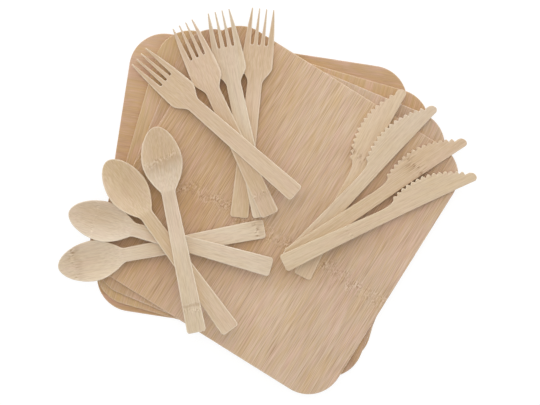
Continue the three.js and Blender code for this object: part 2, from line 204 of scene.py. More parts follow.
@dataclass
class Sheet:
    """Plan of a thin piece: points as rows of x and y in millimetres, and counter-clockwise faces."""

    points: np.ndarray
    quads: np.ndarray

    @classmethod
    def of_rows(cls, right: np.ndarray, left: np.ndarray, shares: np.ndarray) -> "Sheet":
        """Sheet of straight rows from a right side to a left one.

        Args:
            right: The row's first points, one for each row.
            left: The row's last points.
            shares: Places along a row, rising from 0 to 1.

        Returns:
            The sheet, with point (i, j) at right[i] + shares[j] (left[i] - right[i]).
        """
        rows = right[:, None, :] + shares[None, :, None] * (left - right)[:, None, :]
        index = np.arange(rows.shape[0] * rows.shape[1]).reshape(rows.shape[:2])
        return cls(rows.reshape(-1, 2), grid_quads(index))

    def rim(self) -> tuple[np.ndarray, np.ndarray, np.ndarray]:
        """Finds the boundary, which is every edge that only one face runs along.

        Returns:
            Numbers of the boundary's points, of the point before each and of the point after each.
        """
        count = len(self.points)
        start, end = np.stack((self.quads, np.roll(self.quads, -1, axis=1)), axis=-1).reshape(-1, 2).T
        alone = ~np.isin(start * count + end, end * count + start)
        before = np.zeros(count, dtype=int)
        before[end[alone]] = start[alone]
        return start[alone], before[start[alone]], end[alone]

    def thicken(self, underside: Surface, thickness: float, edge: float) -> Solid:
        """Gives the sheet its thickness and a rounded edge.

        The edge is carried round the rim: at angle a from 90 degrees down to 0 a point lies edge cos(a) out
        from the rim and edge (1 - sin(a)) below the top, and the same turned over at the bottom.

        Args:
            underside: Function of x and y that gives the height of the underside.
            thickness: Distance from the underside to the top.
            edge: Radius of the rounded edge.

        Returns:
            The closed solid: top, underside and the rings of the edge.
        """
        rim, before, after = self.rim()
        outward = mitres(self.points[rim], self.points[before], self.points[after])
        angles = np.linspace(math.pi / 2, 0, EDGE_STEPS + 1)[1:]
        out = edge * np.cos(angles)
        fall = edge * (1 - np.sin(angles))
        out = np.concatenate((out, out[::-1]))
        lift = np.concatenate((thickness - fall, fall[::-1]))
        rings = self.points[rim][None] + out[:, None, None] * outward[None]
        plan = np.vstack((self.points, self.points, rings.reshape(-1, 2)))
        count = len(self.points)
        lifts = np.concatenate((np.full(count, thickness), np.zeros(count), np.repeat(lift, len(rim))))
        heights = underside(plan[:, 0], plan[:, 1]) + lifts

        index = 2 * count + np.arange(rings.shape[0] * rings.shape[1]).reshape(rings.shape[:2])
        chain = np.vstack((rim, index, rim + count))
        order = np.zeros(count, dtype=int)
        order[rim] = np.arange(len(rim))
        ahead = chain[:, order[after]]
        sides = np.stack((ahead[:-1], chain[:-1], chain[1:], ahead[1:]), axis=-1).reshape(-1, 4)
        faces = np.vstack((self.quads, self.quads[:, ::-1] + count, sides))
        on_rim = np.ones(len(plan))
        on_rim[:2 * count] = np.tile(np.isin(np.arange(count), rim), 2)
        return Solid(np.column_stack((plan, heights)), faces, on_rim)


@dataclass(frozen=True)
class Bearing:
    """Where a surface lies: the middle of its box along its own axes, which are lengthwise, crosswise and
    upward, as rows.
    """

    centre: np.ndarray
    axes: np.ndarray

    @classmethod
    def of_surface(cls, points: np.ndarray, triangles: np.ndarray, towards: np.ndarray) -> "Bearing":
        """Principal axes of a surface of even weight.

        A triangle of area A with corners a, b, c and sum s has the first moment A s / 3 and the second
        moment A (aa + bb + cc + ss) / 12, written as outer products.

        Args:
            points: Corners of the surface, as rows.
            triangles: Numbers of three corners for each triangle.
            towards: Direction that the lengthwise axis leans to.

        Returns:
            The bearing, with its upward axis on the side of +z.
        """
        corners = points[triangles]
        normals = np.cross(corners[:, 1] - corners[:, 0], corners[:, 2] - corners[:, 0])
        area = np.linalg.norm(normals, axis=1) / 2
        sums = corners.sum(axis=1)
        centre = area @ sums / (3 * area.sum())
        second = np.einsum("t,tki,tkj->ij", area, corners, corners)
        second = second + np.einsum("t,ti,tj->ij", area, sums, sums)
        spread = second / 12 - area.sum() * np.outer(centre, centre)
        upward, _, lengthwise = np.linalg.eigh(spread)[1].T
        upward = upward * np.sign(upward[2])
        lengthwise = lengthwise * np.sign(lengthwise @ towards)
        axes = np.array((lengthwise, np.cross(upward, lengthwise), upward))
        reach = points @ axes.T
        return cls((reach.min(axis=0) + reach.max(axis=0)) / 2 @ axes, axes)

    @classmethod
    def of_square(cls, points: np.ndarray) -> "Bearing":
        """Bearing of a flat square with round corners.

        Its corners lie on its diagonals, so the mean of (x + iy)^4 about its centre points to four times
        the angle of a diagonal, which is its heading and half a right angle.

        Args:
            points: Corners of its surface, as rows.

        Returns:
            The bearing, level and with its lengthwise axis along a side.
        """
        corners = np.unique(np.round(points, 6), axis=0)
        centre = (corners.min(axis=0) + corners.max(axis=0)) / 2
        around = (corners - centre) @ (1, 1j, 0)
        heading = np.angle(-np.mean(around ** 4)) / 4
        along = np.array((math.cos(heading), math.sin(heading), 0))
        upward = np.array((0.0, 0.0, 1.0))
        return cls(centre, np.array((along, np.cross(upward, along), upward)))


def node_surface(node: bpy.types.Object) -> tuple[np.ndarray, np.ndarray]:
    """Reads the surface of a solid of the frame.

    Args:
        node: The solid's object.

    Returns:
        Its vertices in metres, and its triangles.
    """
    mesh = node.data
    mesh.calc_loop_triangles()
    points = np.empty(3 * len(mesh.vertices), dtype=np.float32)
    mesh.vertices.foreach_get("co", points)
    triangles = np.empty(3 * len(mesh.loop_triangles), dtype=np.int32)
    mesh.loop_triangles.foreach_get("vertices", triangles)
    return points.reshape(-1, 3).astype(float), triangles.reshape(-1, 3)


def lay(name: str, solid: Solid, own: Bearing, rest: Bearing, grain: np.ndarray) -> bpy.types.Object:
    """Makes a piece's object, laid so that its own bearing meets the one at rest.

    Args:
        name: The object's name.
        solid: The piece in its own frame, in millimetres.
        own: Its bearing there, in metres.
        rest: Its bearing at rest.
        grain: For each vertex, its place along, across and through the grain in millimetres.

    Returns:
        The object, at the origin, with its place in its mesh.
    """
    turn = rest.axes.T @ own.axes
    placed = (solid.vertices * MM - own.centre) @ turn.T + rest.centre
    mesh = bpy.data.meshes.new(name)
    mesh.vertices.add(len(placed))
    mesh.vertices.foreach_set("co", placed.astype(np.float32).ravel())
    mesh.loops.add(solid.faces.size)
    mesh.loops.foreach_set("vertex_index", solid.faces.astype(np.int32).ravel())
    mesh.polygons.add(len(solid.faces))
    mesh.polygons.foreach_set("loop_start", np.arange(0, solid.faces.size, 4, dtype=np.int32))
    mesh.polygons.foreach_set("use_smooth", np.ones(len(solid.faces), dtype=bool))
    mesh.update(calc_edges=True)
    mesh.validate()
    places = mesh.attributes.new(GRAIN, "FLOAT_VECTOR", "POINT")
    places.data.foreach_set("vector", grain.astype(np.float32).ravel())
    edges = mesh.attributes.new(RIM, "FLOAT", "POINT")
    edges.data.foreach_set("value", solid.rim.astype(np.float32))
    piece = bpy.data.objects.new(name, mesh)
    bpy.context.scene.collection.objects.link(piece)
    return piece


def add(tree: Tree, kind: str, inputs: dict[str | int, Any], **settings: Any) -> bpy.types.Node:
    """Adds a shader node with its settings and links.

    Args:
        tree: The node tree.
        kind: The node's type, after the words that the types of all shader nodes start with.
        inputs: Values, or sockets to link, by the input's name or number.
        settings: Properties of the node.

    Returns:
        The node.
    """
    node = tree.nodes.new(f"ShaderNode{kind}")
    for name, value in settings.items():
        setattr(node, name, value)
    for key, value in inputs.items():
        if isinstance(value, Socket):
            tree.links.new(value, node.inputs[key])
        else:
            node.inputs[key].default_value = value
    return node


@dataclass(frozen=True)
class NodeBand:
    """Joint of the cane, seen as a speckled band across the grain.

    Attributes:
        at: Place along the grain, in millimetres.
        slant: How far the band runs along the grain for each millimetre across it.
        width: Half-width of the band, in millimetres.
        dark: Share of brown in its dark flecks.
        light: Share of the pale tone in its light flecks.
        shade: Share of brown in the soft line along the side of the band that is nearer to x = 0.
        fleck: Length of a fleck along the grain, in millimetres.
    """

    at: float
    slant: float = 0.0
    width: float = 4.0
    dark: float = 0.25
    light: float = 0.25
    shade: float = 0.0
    fleck: float = 1.8


@dataclass(frozen=True)
class TintOrShadePatch:
    """Soft round patch of another tint: a tone of the bamboo, and on some plates painted shade.

    Attributes:
        along: Place of its middle along the grain, in millimetres.
        across: Place of its middle across the grain.
        radius: Distance from the middle at which it ends.
        colour: Its colour.
        share: Share of that colour in the middle.
    """

    along: float
    across: float
    radius: float
    colour: str
    share: float = 0.5


@dataclass(frozen=True)
class Streak:
    """One layer of the grain.

    Attributes:
        length: Length of a streak along the grain, in millimetres.
        width: Its width in millimetres.
        brown: Share of brown where a streak is darkest.
        pale: Share of the pale tone where it is lightest.
        apart: How far the noise has to be from its middle for a streak to show, more for fewer streaks.
    """

    length: float
    width: float
    brown: float
    pale: float
    apart: float = 0.0


@dataclass(frozen=True)
class Bamboo:
    """Bamboo, planed or hot-pressed and left bare: satin, with fine brown and pale fibres and speckled
    joints, and here and there a blush of red or yellow.

    Attributes:
        tones: Colours of the bare bamboo by their places on the tone axis in millimetres, in rising order.
        streaks: Layers of the grain, from the broadest to the finest.
        bands: Joints of the cane that cross the piece.
        tint_and_shade_patches: Patches of another tint, some of them painted shade.
        seed: Shift of the pattern, so that no two pieces are cut from the same place.
        axis: Way in which the tones follow each other.
        brown: Colour of dark fibres.
        pale: Colour of light fibres.
        blush: Tint of the patches that take up a little red.
        honey: Tint of the patches that take up a little yellow.
        mottle: Share of these tints where a patch is fullest.
        drawn: Share of the streaks' strength that shows.
        edge: Share of the pale tone on the edges, a painted highlight along their rounding.
        roughness: Least and greatest roughness, which changes from fibre to fibre.
        relief: Strength of the fibres' relief.
        relief_height: Its height in millimetres.
        refraction: Index of refraction.
    """

    tones: dict[float, str]
    streaks: tuple[Streak, ...]
    bands: tuple[NodeBand, ...] = ()
    tint_and_shade_patches: tuple[TintOrShadePatch, ...] = ()
    seed: float = 0.0
    axis: ToneAxis = ToneAxis.ALONG
    brown: str = "#8a5c30"
    pale: str = "#f6e8d2"
    blush: str = "#deb3a2"
    honey: str = "#d4ae74"
    mottle: float = 0.3
    drawn: float = 1.0
    edge: float = 0.1
    roughness: tuple[float, float] = (0.52, 0.64)
    relief: float = 0.2
    relief_height: float = 0.1
    refraction: float = 1.5

    def pattern(self, tree: Tree, length: float, width: float) -> Socket:
        """Noise with one finer layer, drawn out along the grain.

        Args:
            tree: The material's node tree.
            length: Length of a streak in millimetres.
            width: Its width in millimetres.

        Returns:
            The noise, about 0.5.
        """
        place = add(tree, "Attribute", {}, attribute_name=GRAIN)
        scaled = add(tree, "Mapping", {
            "Vector": place.outputs["Vector"],
            "Location": tuple(shift * self.seed for shift in SEED_SHIFT),
            "Scale": (1 / length, 1 / width, 1 / width),
        })
        noise = add(tree, "TexNoise", {
            "Vector": scaled.outputs["Vector"], "Scale": 1.0, "Detail": 1.0,
        }, noise_dimensions="3D")
        return noise.outputs["Fac"]

    def tone(self, tree: Tree) -> Socket:
        """Colour of the bare bamboo, which runs straight from tone to tone.

        Args:
            tree: The material's node tree.

        Returns:
            The colour.
        """
        places = list(self.tones)
        first, last = places[0], places[-1]
        place = add(tree, "Attribute", {}, attribute_name=GRAIN)
        axes = add(tree, "SeparateXYZ", {0: place.outputs["Vector"]})
        share = add(tree, "MapRange", {
            "Value": axes.outputs[self.axis.value], "From Min": first, "From Max": last,
        })
        ramp = add(tree, "ValToRGB", {0: share.outputs["Result"]})
        stops = ramp.color_ramp.elements
        for at in places[1:-1]:
            stops.new((at - first) / (last - first))
        for stop, colour in zip(stops, self.tones.values()):
            stop.color = linear(colour)
        return ramp.outputs["Color"]

    def tinted(self, tree: Tree, colour: Socket, tint: str, steer: Socket, reach: tuple[float, float],
               most: Level) -> Socket:
        """Mixes a tint into a colour.

        Args:
            tree: The material's node tree.
            colour: Colour to start from.
            tint: Hex colour to mix in.
            steer: What steers the mix.
            reach: Its values where the mix begins and where it is fullest.
            most: Share of the tint there, as a number or a socket.

        Returns:
            The mixed colour.
        """
        share = add(tree, "MapRange", {
            "Value": steer, "From Min": reach[0], "From Max": reach[1], "To Max": most,
        })
        mix = add(tree, "Mix", {
            0: share.outputs["Result"], 6: colour, 7: linear(tint),
        }, data_type="RGBA")
        return mix.outputs[2]

    def zone(self, tree: Tree, away: Socket, middle: float, width: float, most: Level) -> Socket:
        """Share that is fullest at one distance and falls smoothly to 0 on both sides of it.

        Args:
            tree: The material's node tree.
            away: Distance from a joint or from the middle of a patch, in millimetres.
            middle: Distance at which the share is fullest.
            width: How far from there it is 0.
            most: The fullest share, as a number or a socket.

        Returns:
            The share.
        """
        aside = add(tree, "Math", {0: away, 1: middle}, operation="SUBTRACT")
        size = add(tree, "Math", {0: aside.outputs[0]}, operation="ABSOLUTE")
        fall = add(tree, "MapRange", {
            "Value": size.outputs[0], "From Max": width, "To Min": most, "To Max": 0.0,
        }, interpolation_type="SMOOTHSTEP")
        return fall.outputs["Result"]

    def banded(self, tree: Tree, colour: Socket, band: NodeBand) -> Socket:
        """Colour with one joint: dark fibres around it, a shaded side, and flecks along its wandering line.

        Args:
            tree: The material's node tree.
            colour: Colour to start from.
            band: The joint.

        Returns:
            The colour with the joint.
        """
        place = add(tree, "Attribute", {}, attribute_name=GRAIN)
        axes = add(tree, "SeparateXYZ", {0: place.outputs["Vector"]})
        straight = add(tree, "Math", {
            0: axes.outputs["Y"], 1: -band.slant, 2: axes.outputs["X"],
        }, operation="MULTIPLY_ADD")
        wander = add(tree, "Math", {
            0: self.pattern(tree, *JOINT_WANDER), 1: 2 * band.width, 2: straight.outputs[0],
        }, operation="MULTIPLY_ADD")
        away = add(tree, "Math", {0: wander.outputs[0], 1: band.at + band.width}, operation="SUBTRACT")
        around = self.zone(tree, away.outputs[0], 0.0, JOINT_FIBRES_TO * band.width, band.dark / 2)
        fibres = self.pattern(tree, *JOINT_FIBRES)
        dark = (NOISE_MIDDLE, NOISE_MIDDLE - FIBRE_REACH)
        colour = self.tinted(tree, colour, self.brown, fibres, dark, around)
        side = self.zone(tree, away.outputs[0], JOINT_SHADED_AT * band.width, band.width, band.shade)
        colour = self.tinted(tree, colour, self.brown, side, (0.0, 1.0), 1.0)
        flecks = self.pattern(tree, band.fleck, FLECK_WIDTH)
        clumps = self.pattern(tree, *JOINT_CLUMPS)
        for tint, way, most in ((self.brown, -1, band.dark), (self.pale, 1, band.light)):
            fullest = add(tree, "MapRange", {
                "Value": clumps, "From Min": SPARSE_AT, "From Max": FULL_AT,
                "To Min": SPARSE_SHARE * most, "To Max": most,
            })
            line = self.zone(tree, away.outputs[0], 0.0, band.width, fullest.outputs["Result"])
            reach = (NOISE_MIDDLE, NOISE_MIDDLE + way * FLECK_REACH)
            colour = self.tinted(tree, colour, tint, flecks, reach, line)
        return colour

    def with_tint_or_shade_patch(self, tree: Tree, colour: Socket, tint_or_shade: TintOrShadePatch) -> Socket:
        """Colour with one patch of another tint, which on some plates is painted shade.

        Args:
            tree: The material's node tree.
            colour: Colour to start from.
            tint_or_shade: The patch.

        Returns:
            The colour with the patch.
        """
        place = add(tree, "Attribute", {}, attribute_name=GRAIN)
        away = add(tree, "VectorMath", {
            0: place.outputs["Vector"], 1: (tint_or_shade.along, tint_or_shade.across, 0.0),
        }, operation="DISTANCE")
        share = self.zone(tree, away.outputs["Value"], 0.0, tint_or_shade.radius, tint_or_shade.share)
        return self.tinted(tree, colour, tint_or_shade.colour, share, (0.0, 1.0), 1.0)

    def material(self, name: str) -> bpy.types.Material:
        """Builds the material.

        Args:
            name: The material's name.

        Returns:
            The material, whose pattern follows the grain and rim attributes of its piece.
        """
        material = bpy.data.materials.new(name)
        material.use_nodes = True
        tree = material.node_tree
        shader = tree.nodes["Principled BSDF"]
        colour = self.tone(tree)
        # Patches of another tint; the dark warm ones on plate_3 and plate_4 are painted shade.
        for tint_or_shade in self.tint_and_shade_patches:
            colour = self.with_tint_or_shade_patch(tree, colour, tint_or_shade)
        for length, width in TINTED_PATCHES:
            patches = self.pattern(tree, length, width)
            for tint, way in ((self.blush, 1), (self.honey, -1)):
                reach = (NOISE_MIDDLE, NOISE_MIDDLE + way * FIBRE_REACH)
                colour = self.tinted(tree, colour, tint, patches, reach, self.mottle)
        for streak in self.streaks:
            noise = self.pattern(tree, streak.length, streak.width)
            for tint, way, most in ((self.brown, -1, streak.brown), (self.pale, 1, streak.pale)):
                begins, fullest = streak.apart, FIBRE_REACH + streak.apart / 2
                reach = (NOISE_MIDDLE + way * begins, NOISE_MIDDLE + way * fullest)
                colour = self.tinted(tree, colour, tint, noise, reach, self.drawn * most)
        for band in self.bands:
            colour = self.banded(tree, colour, band)
        # Painted highlight: the pale tone laid along the rounded edges, where the light catches them.
        rim = add(tree, "Attribute", {}, attribute_name=RIM)
        colour = self.tinted(tree, colour, self.pale, rim.outputs["Fac"], (0.0, 1.0), self.edge)
        tree.links.new(colour, shader.inputs["Base Color"])
        gloss = add(tree, "MapRange", {
            "Value": noise, "From Min": NOISE_MIDDLE - FIBRE_REACH, "From Max": NOISE_MIDDLE + FIBRE_REACH,
            "To Min": self.roughness[0], "To Max": self.roughness[1],
        })
        tree.links.new(gloss.outputs["Result"], shader.inputs["Roughness"])
        relief = add(tree, "Bump", {
            "Strength": self.relief, "Distance": self.relief_height * MM, "Height": noise,
        })
        tree.links.new(relief.outputs["Normal"], shader.inputs["Normal"])
        shader.inputs["IOR"].default_value = self.refraction
        return material


@dataclass(frozen=True)
class PlanedBamboo(Bamboo):
    """Bamboo of a plate, planed to a sheet: clear fine fibres, with tones that change across them."""

    streaks: tuple[Streak, ...] = (
        Streak(length=28.0, width=60.0, brown=0.04, pale=0.04),
        Streak(length=90.0, width=6.0, brown=0.03, pale=0.03),
        Streak(length=30.0, width=0.75, brown=0.4, pale=0.12, apart=0.08),
        Streak(length=24.0, width=0.55, brown=0.28, pale=0.24),
        Streak(length=10.0, width=0.7, brown=0.09, pale=0.08),
    )
    axis: ToneAxis = ToneAxis.ACROSS


@dataclass(frozen=True)
class PressedBamboo(Bamboo):
    """Bamboo of a piece of cutlery, hot-pressed: denser and more even, with tones that change along it."""

    streaks: tuple[Streak, ...] = (
        Streak(length=90.0, width=5.0, brown=0.02, pale=0.02),
        Streak(length=45.0, width=0.8, brown=0.13, pale=0.11),
        Streak(length=6.0, width=0.7, brown=0.10, pale=0.09),
    )
    mottle: float = 0.12


@dataclass
class ThinPiece(ABC):
    """Piece cut from one thin strip or sheet, with edges rounded to a radius."""

    thickness: float
    edge: float

    @abstractmethod
    def sheet(self) -> Sheet:
        """Plan of the piece, drawn in by the radius of its edge."""

    def underside(self, x: np.ndarray, y: np.ndarray) -> np.ndarray:
        """Height of the underside over the ground, which is 0 where a piece isn't pressed."""
        return np.zeros_like(x)

    def solid(self) -> Solid:
        """Whole piece in its own frame."""
        return self.sheet().thicken(self.underside, self.thickness, self.edge)


@dataclass
class Cutlery(ThinPiece):
    """Piece of cutlery, whose end is on the ground at x = 0."""

    thickness: float = 1.8
    edge: float = 0.45
    length: float = 170.0
    corner: float = 2.5

    def end_corner(self) -> tuple[np.ndarray, np.ndarray]:
        """Quarter circle at a corner of the handle's end.

        Returns:
            Distances from the end, and how far the side there is from its straight line.
        """
        angles = np.linspace(0, math.pi / 2, CORNER_STEPS + 1)
        return self.corner * (1 - np.cos(angles)), self.corner * (1 - np.sin(angles))


@dataclass
class Tapered(Cutlery):
    """Fork or spoon, alike on both sides, whose handle narrows and arches from its end to the neck."""

    end_width: float = 14.9
    neck_width: float = 11.8
    head_length: float = 61.0
    arch: float = 2.6
    handle_points: int = 60

    @property
    def neck_at(self) -> float:
        """Place of the neck along the piece."""
        return self.length - self.head_length

    def handle_half_width(self, x: np.ndarray) -> np.ndarray:
        """Half-width of the handle, straight from end to neck."""
        return lerp(self.end_width, self.neck_width, x / self.neck_at) / 2

    def handle_arch(self, x: np.ndarray) -> np.ndarray:
        """Quarter sine wave from the end, which touches the ground, up to the neck."""
        return self.arch * np.sin(math.pi / 2 * np.minimum(1, x / self.neck_at))

    def sides(self, x: np.ndarray, half_width: np.ndarray) -> tuple[np.ndarray, np.ndarray]:
        """Right and left sides, drawn in by the radius of the edge.

        Args:
            x: Places along the straight part and the head, from the end of the corner to the tip.
            half_width: Half-width at each of them.

        Returns:
            The two sides, from the handle's end to the tip.
        """
        corner_x, drawn_in = self.end_corner()
        along = np.concatenate((corner_x[:-1], x))
        across = np.concatenate((self.handle_half_width(corner_x[:-1]) - drawn_in[:-1], half_width))
        right = np.column_stack((along, -across))
        left = np.column_stack((along, across))
        outline = inset(np.vstack((right, left[::-1])), self.edge)
        return outline[:len(along)], outline[len(along):][::-1]


@dataclass
class Fork(Tapered):
    """Fork with tines cut by slots that are round at the root and widen to the tips."""

    head_width: float = 25.4
    head_swell: float = 1.75
    shoulder_length: float = 14.0
    tine_count: int = 4
    tips_width: float = 18.1
    tine_tip_width: float = 0.9
    slot_depth: float = 29.8
    slot_width: float = 2.2
    slot_pitch: float = 5.7
    belly_from_tips: float = 27.0
    tip_rise: float = 1.2
    lanes: int = 5
    # Least distance between the last two rows of points before the slots.
    row_gap: float = 0.3
    head_points: int = 72
    root_points: int = 9
    tine_points: int = 34
    edge: float = 0.35

    def head_half_width(self, x: np.ndarray) -> np.ndarray:
        """Half-width of the head: it swells by a power from the tips, and a cosine rolls it in to the neck.

        Args:
            x: Places along the fork.

        Returns:
            The half-width at each of them.
        """
        from_tips = self.length - x
        widest = self.head_length - self.shoulder_length
        swell = 1 - np.clip(1 - from_tips / widest, 0, 1) ** self.head_swell
        roll = (1 + np.cos(math.pi * np.clip((from_tips - widest) / self.shoulder_length, 0, 1))) / 2
        front = lerp(self.tips_width, self.head_width, swell)
        rear = lerp(self.neck_width, self.head_width, roll)
        return np.where(from_tips <= widest, front, rear) / 2

    def underside(self, x: np.ndarray, y: np.ndarray) -> np.ndarray:
        """Arched along the handle, down by a cosine to the head's belly and up by a parabola to the tips.

        Args:
            x: Places along the fork.
            y: Places across it, which make no difference.

        Returns:
            The height of the underside at each of them.
        """
        belly_at = self.length - self.belly_from_tips
        slope = np.clip((x - self.neck_at) / (belly_at - self.neck_at), 0, 1)
        rise = np.maximum(0, (x - belly_at) / self.belly_from_tips)
        head = self.arch * (1 + np.cos(math.pi * slope)) / 2 + self.tip_rise * rise ** 2
        return np.where(x <= self.neck_at, self.handle_arch(x), head)

    def slot_sides(self, order: float, x: np.ndarray) -> tuple[np.ndarray, np.ndarray]:
        """Right and left sides of a slot, moved out into the tines by the radius of their edge.

        Args:
            order: The slot's number of pitches from the middle.
            x: Places along the fork, from the slot's root on.

        Returns:
            y of the two sides: a circle about the root, then straight lines to the tips.
        """
        root = self.length - self.slot_depth + self.slot_width / 2
        tip_pitch = (self.tips_width - self.tine_tip_width) / (self.tine_count - 1)
        share = np.maximum(0, (x - root) / (self.length - root))
        middle = order * lerp(self.slot_pitch, tip_pitch, share)
        radius = self.slot_width / 2 + self.edge
        round_root = np.sqrt(np.maximum(0, radius ** 2 - np.minimum(0, x - root) ** 2))
        widening = (tip_pitch - self.tine_tip_width - self.slot_width) / 2 * share
        return middle - round_root - widening, middle + round_root + widening

    def sheet(self) -> Sheet:
        """Plan of handle and head up to the roots of the slots, and of each tine beyond them.

        Returns:
            The sheet: one grid for handle and head, and one for each tine, joined along its last row.
        """
        head = np.linspace(self.neck_at, self.length, self.head_points)
        x = np.concatenate((np.linspace(self.corner, self.neck_at, self.handle_points)[:-1], head))
        half_width = np.where(x < self.neck_at, self.handle_half_width(x), self.head_half_width(x))
        right, left = self.sides(x, half_width)
        root = self.length - self.slot_depth + self.slot_width / 2
        radius = self.slot_width / 2 + self.edge
        start = root - radius

        rows = np.append(left[left[:, 0] < start - self.row_gap, 0], start)
        half = np.interp(rows, left[:, 0], left[:, 1])
        orders = np.arange(1, self.tine_count) - self.tine_count / 2
        breaks = np.concatenate(([-half[-1]], orders * self.slot_pitch, [half[-1]])) / half[-1]
        places = np.arange(self.tine_count * self.lanes + 1) / self.lanes
        shares = (np.interp(places, np.arange(self.tine_count + 1), breaks) + 1) / 2
        body = Sheet.of_rows(np.column_stack((rows, -half)), np.column_stack((rows, half)), shares)
        last_row = np.arange(len(body.points))[-len(shares):]

        bend = np.linspace(0, math.pi / 2, self.root_points)[1:]
        straight = np.linspace(root, self.length - self.edge, self.tine_points)[1:]
        tine_x = np.concatenate((root - radius * np.cos(bend), straight))
        outer = np.interp(tine_x, left[:, 0], left[:, 1])
        edges = [(-outer, -outer)] + [self.slot_sides(order, tine_x) for order in orders] + [(outer, outer)]
        points, quads = [body.points], [body.quads]
        count = len(body.points)
        for tine in range(self.tine_count):
            low, high = edges[tine][1], edges[tine + 1][0]
            grid = lerp(low[:, None], high[:, None], np.linspace(0, 1, self.lanes + 1)[None])
            place = np.broadcast_to(tine_x[:, None], grid.shape)
            seam = last_row[tine * self.lanes:(tine + 1) * self.lanes + 1]
            index = np.vstack((seam, count + np.arange(grid.size).reshape(grid.shape)))
            points.append(np.column_stack((place.ravel(), grid.ravel())))
            quads.append(grid_quads(index))
            count += grid.size
        return Sheet(np.vstack(points), np.vstack(quads))


@dataclass
class Spoon(Tapered):
    """Spoon with a shallow egg-shaped bowl that is pressed into the strip."""

    length: float = 169.8
    edge: float = 0.6
    end_width: float = 15.6
    neck_width: float = 11.2
    head_length: float = 54.0
    arch: float = 4.4
    bowl_width: float = 33.0
    widest_from_tip: float = 29.0
    tip_power: float = 1.85
    shoulder_power: float = 1.8
    bowl_depth: float = 4.0
    dish_power: float = 1.2
    neck_blend: float = 1.6
    lanes: int = 26
    bowl_points: int = 44
    tip_points: int = 40

    def half_width(self, x: np.ndarray) -> np.ndarray:
        """Half-width of the handle, joined by a small fillet to an egg.

        In front of its widest place the egg is h (1 - s^p)^(1/p), with s the share of the way to the tip.
        Behind it, it closes to the neck by a power of the share of the way there.

        Args:
            x: Places along the spoon.

        Returns:
            The half-width at each of them.
        """
        from_tip = self.length - x
        half = self.bowl_width / 2
        ahead = np.clip(1 - from_tip / self.widest_from_tip, 0, 1)
        front = half * (1 - ahead ** self.tip_power) ** (1 / self.tip_power)
        behind = np.maximum(0, from_tip - self.widest_from_tip) / (self.head_length - self.widest_from_tip)
        rear = lerp(half, self.neck_width / 2, behind ** self.shoulder_power)
        whole = smooth_max(self.handle_half_width(x), rear, self.neck_blend)
        return np.where(from_tip < self.widest_from_tip, front, whole)

    def underside(self, x: np.ndarray, y: np.ndarray) -> np.ndarray:
        """Arched along the handle and down to the rim, less a dish of d (1 - r^2)^p within the oval r = 1.

        Args:
            x: Places along the spoon.
            y: Places across it.

        Returns:
            The height of the underside at each of them.
        """
        widest_at = self.length - self.widest_from_tip
        rim = lerp(self.handle_arch(x), self.bowl_depth, smoothstep(x, self.neck_at, widest_at))
        half_length = np.where(x > widest_at, self.widest_from_tip, self.head_length - self.widest_from_tip)
        squared = ((x - widest_at) / half_length) ** 2 + (y / (self.bowl_width / 2)) ** 2
        return rim - self.bowl_depth * np.maximum(0, 1 - squared) ** self.dish_power

    def sheet(self) -> Sheet:
        """Plan of the spoon.

        Returns:
            The sheet, in rows from side to side that are close together at the neck and at the tip.
        """
        blend_at = self.neck_at - 2 * self.neck_blend
        turn = np.linspace(0, math.pi / 2, self.tip_points)[1:-1]
        x = np.concatenate((
            np.linspace(self.corner, blend_at, self.handle_points)[:-1],
            np.linspace(blend_at, self.length - self.widest_from_tip, self.bowl_points),
            self.length - self.widest_from_tip * (1 - np.sin(turn)),
        ))
        right, left = self.sides(x, self.half_width(x))
        return Sheet.of_rows(right, left, np.linspace(0, 1, self.lanes + 1))


